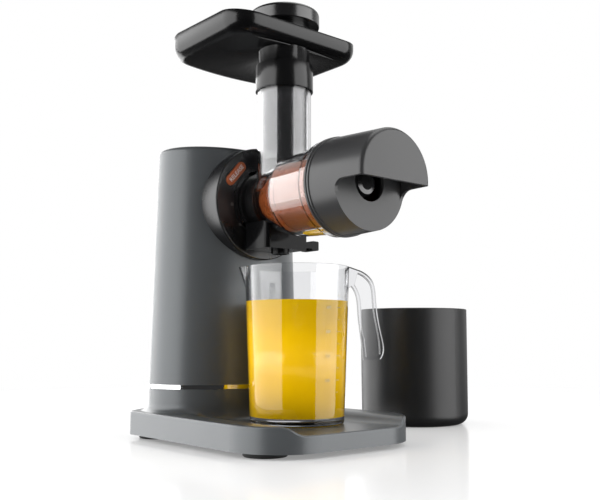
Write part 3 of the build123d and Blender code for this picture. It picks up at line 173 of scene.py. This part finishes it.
graphite = moulded("graphite_paint", ((0.061, 0.066, 0.07), (0.069, 0.074, 0.078)), 0.34, 0.1,
                   Coat_Weight=0.6, Coat_Roughness=0.34, Specular_Tint=(0.92, 0.97, 1.0, 1))
tray_black = moulded("tray_black", DEEP_BLACK, 0.2, 0.04, Specular_IOR_Level=0.45)
spout_black = moulded("spout_black", DEEP_BLACK, 0.12, 0.04, Specular_IOR_Level=0.12)
black = moulded("black_gloss", ((0.005, 0.005, 0.0054), (0.007, 0.007, 0.0074)), 0.22, 0.04,
                Specular_IOR_Level=1.0)
bezel_black = moulded("bezel_black", ((0.006, 0.006, 0.0065), (0.008, 0.008, 0.0085)), 0.27, 0.05,
                      Specular_IOR_Level=0.65)
charcoal = moulded("charcoal_satin", ((0.03, 0.03, 0.031), (0.036, 0.036, 0.037)), 0.32, 0.1)
bin_black = moulded("bin_black", ((0.0085, 0.0085, 0.009), (0.011, 0.011, 0.0115)), 0.4, 0.12)
copper = moulded("copper_button", ((0.36, 0.075, 0.018), (0.42, 0.095, 0.025)), 0.3, 0.08)
nylon = moulded("gear_nylon", ((0.62, 0.6, 0.52), (0.68, 0.66, 0.58)), 0.45, 0.1)
rubber = moulded("soft_rubber", ((0.012, 0.012, 0.012), (0.02, 0.02, 0.02)), 0.75, 0.3, 900)
grey_moulding = moulded("cover_plastic", ((0.03, 0.03, 0.031), (0.04, 0.04, 0.041)), 0.5, 0.25)

amber = Finish("amber_strainer", (0.2, 0.045, 0.008), 0.28, IOR=1.5)
amber.mottle((0.17, 0.036, 0.006), (0.22, 0.052, 0.01), 30, 0.22, 0.34)
amber.bump(amber.noise(1200, 2.0), 0.08, 0.05 * MM)

# ---------------------------------------------------------------- metals, mesh and board
chrome = Finish("chrome_band", (0.86, 0.86, 0.87), 0.07, 1.0)
chrome.bump(chrome.noise(900, 2.0, (1, 1, 9)), 0.03, 0.04 * MM)


def machined(name, colour, roughness, lines):
    """Metal with fine turning lines round the auger's direction."""
    finish = Finish(name, colour, roughness, 1.0)
    strokes = finish.noise(lines, 3.0, (1, 9, 9))
    finish.give("Roughness", finish.span(strokes, roughness - 0.06, roughness + 0.1))
    finish.bump(strokes, 0.12, 0.05 * MM)
    return finish


steel = machined("machined_steel", (0.52, 0.52, 0.53), 0.32, 500)
zinc = machined("zinc_screws", (0.6, 0.6, 0.58), 0.36, 700)
brass = machined("sintered_brass", (0.62, 0.42, 0.16), 0.4, 800)

mesh = Finish("strainer_mesh", (0.22, 0.07, 0.02), 0.4, 0.3)
# painted shade: the middle of each cell is painted near black for the shade seen through a hole, and the webs
# between keep the mesh's brown
holes = mesh.add("ShaderNodeTexVoronoi", Vector=mesh.places, Scale=900.0, Randomness=0.15).outputs["Distance"]
webs_over_hole_shade = mesh.span(holes, 0.0, 1.0, 0.12, 0.3)
mesh.give("Base Color", mesh.blend(webs_over_hole_shade, (0.04, 0.012, 0.004), (0.2, 0.055, 0.014)))
mesh.bump(holes, 0.3, 0.2 * MM)

board_green = (0.02, 0.14, 0.05)
board = Finish("circuit_board", board_green, 0.4)
tracks = board.add("ShaderNodeTexBrick", Vector=board.places, Scale=260.0, Color1=(*board_green, 1),
                   Color2=(0.025, 0.17, 0.06, 1), Mortar=(0.05, 0.24, 0.1, 1))
board.give("Base Color", tracks.outputs["Color"])

# ---------------------------------------------------------------- clear plastics
CLEAR_TINT = (0.965, 0.967, 0.975)
# painted shade on the rims of clear plastic: its dark grey, and the facing range over which it comes in
RIM_PAINTED_SHADE = (0.12, 0.123, 0.132)
RIM_SHADE_START, RIM_SHADE_END = 0.66, 0.96
SHADOW_TINT = (0.93, 0.94, 0.95, 1)
DEPTH_TINT, DEPTH_DENSITY = (0.5, 0.51, 0.55, 1), 16.0


def clear(name, roughness, bend, shine):
    """Clear moulded plastic with faint flow marks and painted shade on its rims where they turn edge-on; it
    lets the lamps through.
    """
    finish = Finish(name, CLEAR_TINT, roughness, IOR=bend, Transmission_Weight=1.0,
                    Coat_Weight=1.0, Coat_IOR=shine)
    depth = finish.add("ShaderNodeVolumeAbsorption", Color=DEPTH_TINT, Density=DEPTH_DENSITY)
    finish.feed(finish.output.inputs["Volume"], depth.outputs[0])
    # painted shade: the colour darkens to a dark grey where the surface turns edge-on to the view, standing
    # in for the dark outlines of clear plastic
    facing = finish.add("ShaderNodeLayerWeight", Blend=0.5).outputs["Facing"]
    painted_rim_shade = finish.span(facing, 0.0, 1.0, RIM_SHADE_START, RIM_SHADE_END)
    finish.give("Base Color", finish.blend(painted_rim_shade, CLEAR_TINT, RIM_PAINTED_SHADE))
    finish.give("Roughness", finish.span(finish.noise(40, 3.0), roughness, roughness + 0.03))
    finish.bump(finish.noise(22, 1.5), 0.04, 0.6 * MM)
    through = finish.add("ShaderNodeBsdfTransparent", Color=SHADOW_TINT).outputs[0]
    shadow = finish.add("ShaderNodeLightPath").outputs["Is Shadow Ray"]
    surface = finish.join("ShaderNodeMixShader", finish.shader.outputs[0], through, Fac=shadow)
    finish.feed(finish.output.inputs["Surface"], surface)
    return finish


clear_jug = clear("clear_jug", 0.0, 1.47, 1.0)
clear_chamber = clear("clear_chamber", 0.01, 1.34, 1.6)

# the chamber's gloss coat is thinner up the chute and ends under the barrel
heights = clear_chamber.add("ShaderNodeSeparateXYZ", Vector=clear_chamber.places).outputs["Z"]
up_the_chute = clear_chamber.span(heights, 1.0, 0.4, auger_z + 28 * MM, auger_z + 42 * MM)
under_barrel = clear_chamber.span(heights, 0.0, 1.0, auger_z - 17 * MM, auger_z - 12 * MM)
clear_chamber.give("Coat Weight", clear_chamber.reckon("MULTIPLY", up_the_chute, under_barrel))

# ---------------------------------------------------------------- juice and inks
orange_juice = Finish("orange_juice", (0.78, 0.475, 0.001), 0.12, IOR=1.45)
orange_juice.mottle((0.77, 0.465, 0.0008), (0.8, 0.49, 0.0015), 60, 0.1, 0.16)


def ink(name, colour, roughness):
    """Printing ink with a very fine grain."""
    finish = Finish(name, colour, roughness)
    finish.bump(finish.noise(3000, 1.0), 0.05, 0.02 * MM)
    return finish


white_ink = ink("white_ink", (0.9, 0.9, 0.88), 0.5)
grey_ink = ink("grey_ink", (0.52, 0.46, 0.3), 0.45)
sign_ink = ink("sign_ink", (0.11, 0.105, 0.1), 0.5)

finishes = {
    graphite: ("base_housing", "tower_housing"),
    black: ("bayonet_collar", "pusher_knob", "pusher_shaft", "auger", "switch_frame", "power_rocker"),
    tray_black: ("hopper_tray",),
    spout_black: ("spout_housing", "spout_nozzle", "drip_stop_gate"),
    bezel_black: ("drive_bezel",),
    charcoal: ("end_cap", "cord_gland"),
    bin_black: ("pulp_bin",),
    grey_moulding: ("bottom_cover", "motor_rear_bell", "board_posts"),
    clear_jug: ("juice_jug",),
    clear_chamber: ("juicing_chamber",),
    amber: ("strainer_cage",),
    mesh: ("strainer_mesh",),
    chrome: ("trim_band",),
    copper: ("release_button",),
    rubber: ("rubber_feet", "shaft_seal", "front_seal"),
    steel: ("motor_can", "motor_shaft", "armature", "motor_pinion", "gearbox_rear_plate",
            "gearbox_front_plate", "plate_spacers", "gear_axle_pins", "drive_shaft",
            "button_spring", "motor_magnets"),
    zinc: ("cover_screws", "plate_screws"),
    nylon: ("first_gear", "second_gear", "output_gear", "cooling_fan"),
    brass: ("motor_bushes", "shaft_bearings"),
    board: ("control_board",),
}
for finish, names in finishes.items():
    for name in names:
        nodes[name].data.materials.clear()
        nodes[name].data.materials.append(finish.material)


# ---------------------------------------------------------------- ways to make a piece
def link(name, data):
    """A new object in the scene."""
    made = bpy.data.objects.new(name, data)
    bpy.context.scene.collection.objects.link(made)
    return made


def dress(name, data, finish, body):
    """An object from a mesh, with its finish, riding on a body."""
    made = link(name, data)
    data.materials.clear()
    data.materials.append(finish.material)
    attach(made, body)
    return made


def piece(name, form, finish, body, smooth=True):
    """A finished piece from a bmesh."""
    bmesh.ops.remove_doubles(form, verts=form.verts, dist=0.001 * MM)
    bmesh.ops.recalc_face_normals(form, faces=form.faces)
    data = bpy.data.meshes.new(name)
    form.to_mesh(data)
    form.free()
    for face in data.polygons:
        face.use_smooth = smooth
    return dress(name, data, finish, body)


def turned(form, places, centre, axis, closed=False):
    """A section, open or closed, turned all the way round an axis."""
    corners = [form.verts.new(place) for place in places]
    following = corners[1:] + corners[:1] if closed else corners[1:]
    sides = [form.edges.new(pair) for pair in zip(corners, following)]
    bmesh.ops.spin(form, geom=corners + sides, cent=centre, axis=axis, angle=2 * pi,
                   steps=ROUND_STEPS, use_merge=True)


def rounded(form, parts, offset, segments, affect="EDGES"):
    """Edges or corners rounded off."""
    bmesh.ops.bevel(form, geom=parts, offset=offset, affect=affect, segments=segments,
                    profile=0.5, material=-1)


def moved_verts(parts):
    """The corners among the parts that an operator drew out."""
    return [part for part in parts if isinstance(part, bmesh.types.BMVert)]


def thicken(made, name, thickness, offset):
    """A wall grown from a sheet."""
    wall = made.modifiers.new(name, "SOLIDIFY")
    wall.thickness = thickness
    wall.offset = offset


# ---------------------------------------------------------------- juice in the jug
# from the jug's floor to its level, pressed a little into the wall, with a lip where it climbs it
film = -0.4 * MM
level_share = (juice_z - jug_floor_z) / (jug_rim_z - jug_floor_z)
level_r = jug_inside_foot_r + (jug_inside_rim_r - jug_inside_foot_r) * level_share - film
lip_z = juice_z - 0.6 * MM
form = bmesh.new()
turned(form, [jug_axis + place for place in (
    Vector((0, 0, jug_floor_z + film)),
    Vector((jug_inside_foot_r - film, 0, jug_floor_z + film)),
    Vector((level_r, 0, juice_z)),
    Vector((level_r - 0.5 * MM, 0, juice_z - 0.25 * MM)),
    Vector((level_r - 2.0 * MM, 0, lip_z)),
    Vector((0, 0, lip_z)),
)], jug_axis, (0, 0, 1))
piece("juice", form, orange_juice, "jug")

# ---------------------------------------------------------------- tray, neck and collar in one moulding
tray_back_x, tray_front_x, tray_half = chute.x - 85.7 * MM, chute.x + 28.5 * MM, 70.2 * MM
tray_corner_r, tray_corner_steps = 23 * MM, 10
tray_bottom_z, tray_rim_z, tray_arch = 337 * MM, 352 * MM, 6 * MM
tray_edge_r, tray_edge_steps = 11.5 * MM, 7
tray_bow, tray_bow_cuts = 10 * MM, 11
tray_wall = 1.5 * MM
tray_rim_r = 0.5 * MM
neck_r, neck_steps = 22.4 * MM, 44
collar_r, collar_top_z, collar_z = 25.2 * MM, 323.5 * MM, 301 * MM


def open_loop(form, edges, rise, widen=1.0):
    """Draw open edges out into a new wall, and give the edges at its far side."""
    grown = bmesh.ops.extrude_edge_only(form, edges=edges)["geom"]
    far = moved_verts(grown)
    to_chute = Matrix.Translation((-chute.x, -chute.y, 0))
    bmesh.ops.scale(form, verts=far, vec=(widen, widen, 1), space=to_chute)
    bmesh.ops.translate(form, verts=far, vec=(0, 0, rise))
    return [part for part in grown if isinstance(part, bmesh.types.BMEdge) and part.is_boundary]


# the floor's outline, with round corners and a bowed back side
form = bmesh.new()
corners = [form.verts.new((x, chute.y + side * tray_half, tray_bottom_z)) for x, side in (
    (tray_back_x, -1), (tray_front_x, -1), (tray_front_x, 1), (tray_back_x, 1))]
form.faces.new(corners)
rounded(form, corners, tray_corner_r, tray_corner_steps, "VERTICES")
at_the_back = tray_back_x + 0.1 * MM
back_side = [edge for edge in form.edges if all(vert.co.x < at_the_back for vert in edge.verts)]
bmesh.ops.subdivide_edges(form, edges=back_side, cuts=tray_bow_cuts)
middle_x, reach_x = (tray_back_x + tray_front_x) / 2, (tray_front_x - tray_back_x) / 2
for vert in form.verts:
    inward = max(0.0, min(1.0, (middle_x - vert.co.x) / reach_x))
    vert.co.x -= tray_bow * inward * (1 - ((vert.co.y - chute.y) / tray_half) ** 2)

# the floor round the mouth, and the side wall with its arched rim
outline = list(form.edges)
bmesh.ops.delete(form, geom=list(form.faces), context="FACES_ONLY")
mouth_place = Matrix.Translation((chute.x, chute.y, tray_bottom_z))
ring = bmesh.ops.create_circle(form, segments=neck_steps, radius=neck_r, matrix=mouth_place)["verts"]
mouth = list({edge for vert in ring for edge in vert.link_edges})
bmesh.ops.bridge_loops(form, edges=outline + mouth)
rim = open_loop(form, outline, tray_rim_z - tray_bottom_z)
rounded(form, outline, tray_edge_r, tray_edge_steps)
arch_x, arch_reach = middle_x - tray_bow / 2, reach_x + tray_bow / 2
for vert in {vert for edge in rim for vert in edge.verts}:
    vert.co.z += tray_arch * (1 - ((vert.co.x - arch_x) / arch_reach) ** 2)

# neck and collar below the mouth
shoulder = open_loop(form, mouth, collar_top_z - tray_bottom_z)
flare = open_loop(form, shoulder, 0, collar_r / neck_r)
open_loop(form, flare, collar_z - collar_top_z)
tray = piece("tray_shell", form, tray_black, "tray")
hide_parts("hopper_tray")
thicken(tray, "wall", tray_wall, -1)
soften = tray.modifiers.new("edges", "BEVEL")
soften.width = tray_rim_r
soften.segments = 2
soften.limit_method = "ANGLE"
soften.angle_limit = radians(50)

# ---------------------------------------------------------------- two beads round the end cap's open edge
cap_back_x, cap_back_r = chute.x + 72 * MM, 39.6 * MM
bead_sunk, bead_edge_x, bead_edge_r = 0.6 * MM, 0.3 * MM, 0.25 * MM
auger_line = Vector((0, chute.y, auger_z))
for name, start, width, proud in (("cap_bead_outer", 0.3, 2.5, 0.55), ("cap_bead_inner", 3.7, 2.0, 0.45)):
    near = cap_back_x + start * MM
    far = near + width * MM
    low = cap_back_r - bead_sunk
    high = cap_back_r + proud * MM
    form = bmesh.new()
    turned(form, [auger_line + Vector((x, 0, radius)) for x, radius in (
        (near, low), (near, high - bead_edge_r), (near + bead_edge_x, high),
        (far - bead_edge_x, high), (far, high - bead_edge_r), (far, low),
    )], auger_line, (1, 0, 0), closed=True)
    piece(name, form, charcoal, "cap")


# ---------------------------------------------------------------- prints
def printed(name, text, size, place, across, up, finish, body):
    """Words or numbers as a thin raised print on a flat place."""
    curve = bpy.data.curves.new(name + "_outline", "FONT")
    curve.body = text
    curve.size = size
    curve.align_x = "CENTER"
    curve.align_y = "CENTER"
    curve.extrude = 0.05 * MM
    curve.resolution_u = 3
    holder = link(name + "_outline", curve)
    bpy.context.view_layer.update()
    data = bpy.data.meshes.new_from_object(holder)
    bpy.data.objects.remove(holder)
    turn = Matrix((across, up, across.cross(up))).transposed().to_4x4()
    data.transform(Matrix.Translation(place) @ turn)
    return dress(name, data, finish, body)


# volume marks on the jug, long and short by turns, with a number at each long one
mark_turn = radians(12)
number_turn = mark_turn - radians(16)
mark_low_z, mark_pitch, mark_count = 44 * MM, 9.6 * MM, 9
mark_long, mark_short, mark_high = 5.0 * MM, 3.0 * MM, 0.4 * MM
mark_parts = 8
mark_lift, number_lift = 0.05 * MM, 0.1 * MM
number_size = 3.4 * MM
mark_volume = 50


def mark_place(step, lift):
    """The height of a mark, and the radius just off the jug's wall there."""
    height = mark_low_z + mark_pitch * step
    share = (height - jug_foot_z) / (jug_rim_z - jug_foot_z)
    return height, jug_outside_foot_r + (jug_outside_rim_r - jug_outside_foot_r) * share + lift


form = bmesh.new()
for step in range(mark_count):
    height, radius = mark_place(step, mark_lift)
    spread = (mark_long if step % 2 else mark_short) / radius
    turns = [mark_turn + spread * (part / mark_parts - 0.5) for part in range(mark_parts + 1)]
    low = [form.verts.new(jug_axis + Vector((radius * cos(turn), radius * sin(turn), height)))
           for turn in turns]
    run = [form.edges.new(pair) for pair in zip(low, low[1:])]
    grown = bmesh.ops.extrude_edge_only(form, edges=run)["geom"]
    bmesh.ops.translate(form, vec=(0, 0, mark_high), verts=moved_verts(grown))
marks = piece("volume_marks", form, grey_ink, "jug")
thicken(marks, "print", 0.08 * MM, 1)

outward = Vector((cos(number_turn), sin(number_turn), 0))
along = Vector((-sin(number_turn), cos(number_turn), 0))
for step in range(1, mark_count, 2):
    height, radius = mark_place(step, number_lift)
    printed(f"volume_number_{step}", str(mark_volume * (step + 1)), number_size,
            jug_axis + outward * radius + Vector((0, 0, height)), along, Vector((0, 0, 1)),
            grey_ink, "jug")

# word on the button
button_place = Vector((button_face_x + 0.02 * MM, chute.y, auger_z)) + button_middle
printed("button_word", "RELEASE", 5.4 * MM, button_place,
        Vector((0, cos(button_tilt), sin(button_tilt))), Vector((0, -sin(button_tilt), cos(button_tilt))),
        white_ink, "button")

# padlocks on the bezel's face
lock_thick, lock_wide, lock_high = 0.15 * MM, 3.0 * MM, 2.3 * MM
shackle_r, shackle_half, shackle_z, shackle_steps = 1.0 * MM, 0.22 * MM, 1.1 * MM, 14
shackle_swing = Vector((0, 0.9, 0.6)) * MM


def lock_sign(name, across_y, up_z, opened):
    """A small padlock in raised print on the bezel's face."""
    form = bmesh.new()
    lock_size = Matrix.Diagonal((lock_thick, lock_wide, lock_high, 1))
    bmesh.ops.create_cube(form, size=1.0, matrix=lock_size)
    rounded(form, form.edges[:], 0.05 * MM, 1)
    ring = [form.verts.new((0, shackle_r + side * shackle_half, shackle_z)) for side in (1, -1)]
    bar = form.edges.new(ring)
    bmesh.ops.spin(form, geom=[*ring, bar], cent=(0, 0, shackle_z), axis=(1, 0, 0), angle=pi,
                   steps=shackle_steps)
    if opened:
        bmesh.ops.translate(form, verts=form.verts[-2 * shackle_steps:], vec=shackle_swing)
    bmesh.ops.translate(form, verts=form.verts, vec=(
        bezel_face_x + 0.1 * MM, chute.y + across_y, auger_z + up_z))
    piece(name, form, sign_ink, "stand", smooth=False)


lock_sign("lock_sign_closed", -33.5 * MM, -4.0 * MM, False)
lock_sign("lock_sign_open", -24.5 * MM, -20.5 * MM, True)

# ---------------------------------------------------------------- juice left in the chamber
pool_place = Matrix.Translation((chute.x + 47 * MM, chute.y, auger_z - 32.0 * MM))
pool_size = Matrix.Diagonal((26 * MM, 16 * MM, 2.6 * MM, 1))
form = bmesh.new()
bmesh.ops.create_cube(form, size=1.0, matrix=pool_place @ pool_size)
rounded(form, form.edges[:], 1.2 * MM, 3)
piece("juice_pool", form, orange_juice, "chamber")

# ---------------------------------------------------------------- floor
FLOOR_R = 0.9
FADE_START, FADE_END = 0.4, 0.85
FLOOR_GLOW = 0.25
FLOOR_TO_MATT = 0.3

form = bmesh.new()
bmesh.ops.create_circle(form, cap_ends=True, segments=ROUND_STEPS, radius=FLOOR_R)
data = bpy.data.meshes.new("floor")
form.to_mesh(data)
form.free()
ground = link("floor", data)
ground.visible_glossy = False
ground.visible_shadow = False

# a pale gloss near the part that fades to plain white, where it is seen straight or through glass
pale = Finish("pale_floor", (0.9, 0.9, 0.9), 0.14, Specular_IOR_Level=0.2)
path = pale.add("ShaderNodeLightPath").outputs
distance = pale.add("ShaderNodeVectorMath", Vector=pale.places)
distance.operation = "LENGTH"
fade = pale.span(distance.outputs["Value"], 0.0, 1.0, FADE_START, FADE_END)
unturned = pale.reckon("LESS_THAN", path["Glossy Depth"], 0.5)
through = pale.reckon("MULTIPLY", path["Is Transmission Ray"], unturned)
shown = pale.reckon("MAXIMUM", path["Is Camera Ray"], through)
glow = pale.add("ShaderNodeEmission", Strength=pale.reckon("MULTIPLY", shown, FLOOR_GLOW)).outputs[0]
lit = pale.join("ShaderNodeAddShader", pale.shader.outputs[0], glow)
bounce = pale.reckon("MULTIPLY", path["Is Diffuse Ray"], FLOOR_TO_MATT)
white = pale.add("ShaderNodeEmission", Strength=pale.reckon("MAXIMUM", shown, bounce)).outputs[0]
pale.feed(pale.output.inputs["Surface"], pale.join("ShaderNodeMixShader", lit, white, Fac=fade))
data.materials.append(pale.material)

# ---------------------------------------------------------------- sky
BACKDROP = (-0.763, 0.647, 0)
BACKDROP_START, BACKDROP_END = 0.15, 0.75
BACKDROP_LOW, BACKDROP_HIGH = 0.05, 0.8
BELOW_START, BELOW_END, BELOW_LEVEL = -0.12, 0.0, 0.06
SKY_FILL = 0.16

world = bpy.context.scene.world or bpy.data.worlds.new("world")
bpy.context.scene.world = world
world.use_nodes = True
sky = Nodes(world.node_tree)
surroundings = sky.tree.nodes["Background"]
surroundings.inputs["Color"].default_value = (1, 1, 1, 1)

# white where it is seen straight, a bright side behind the part in mirrored rays, and a low fill
seen = sky.add("ShaderNodeLightPath").outputs
heading = sky.add("ShaderNodeTexCoord").outputs["Generated"]
behind = sky.add("ShaderNodeVectorMath", Vector=heading)
behind.operation = "DOT_PRODUCT"
behind.inputs[1].default_value = BACKDROP
rise = sky.add("ShaderNodeSeparateXYZ", Vector=heading).outputs["Z"]
side_glow = sky.span(behind.outputs["Value"], BACKDROP_LOW, BACKDROP_HIGH, BACKDROP_START, BACKDROP_END)
over_floor = sky.span(rise, BELOW_LEVEL, 1.0, BELOW_START, BELOW_END)
backdrop = sky.reckon("MULTIPLY", side_glow, over_floor)
turned_back = sky.reckon("GREATER_THAN", seen["Glossy Depth"], 0.5)
direct = sky.reckon("SUBTRACT", 1.0, turned_back)
glass = sky.reckon("MULTIPLY", seen["Is Transmission Ray"], direct)
straight = sky.reckon("MAXIMUM", seen["Is Camera Ray"], glass)
mirrored = sky.reckon("MULTIPLY", turned_back, backdrop)
bright = sky.reckon("MAXIMUM", straight, mirrored)
sky.feed(surroundings.inputs["Strength"], sky.reckon(
    "MAXIMUM", bright, sky.reckon("MULTIPLY", direct, SKY_FILL)))

# ---------------------------------------------------------------- lamps
aim = Vector((0, -0.08, 0.17))
softboxes = {                # azimuth, height over the aim, distance, width, height of the box, radiance
    "left_box": (-118, 0.12, 1.1, 2.25, 1.4, 3.1),
    "right_box": (31, 0.12, 1.1, 1.25, 1.4, 2.9),
    "top_box": (60, 1.2, 0.35, 1.0, 1.0, 2.0),
    "back_box": (-184, 0.1, 1.3, 0.7, 1.2, 2.6),
}
for name, (azimuth, height, away, width, tall, radiance) in softboxes.items():
    lamp = bpy.data.lights.new(name, "AREA")
    lamp.shape = "RECTANGLE"
    lamp.size = width
    lamp.size_y = tall
    lamp.energy = radiance * pi * width * tall
    box = link(name, lamp)
    box.location = aim + Vector((away * cos(radians(azimuth)), away * sin(radians(azimuth)), height))
    box.rotation_euler = (aim - box.location).to_track_quat("-Z", "Y").to_euler()

# ---------------------------------------------------------------- camera
camera = link("camera", bpy.data.cameras.new("camera"))
camera.data.lens = 48.24
camera.data.sensor_width = 36
camera.location = (0.53929, -0.52410, 0.08433)
yaw, pitch = radians(139.71), radians(6.49)
look = Vector((cos(yaw) * cos(pitch), sin(yaw) * cos(pitch), sin(pitch)))
camera.rotation_euler = look.to_track_quat("-Z", "Y").to_euler()
bpy.context.scene.camera = camera
bpy.context.scene.view_settings.view_transform = "Standard"
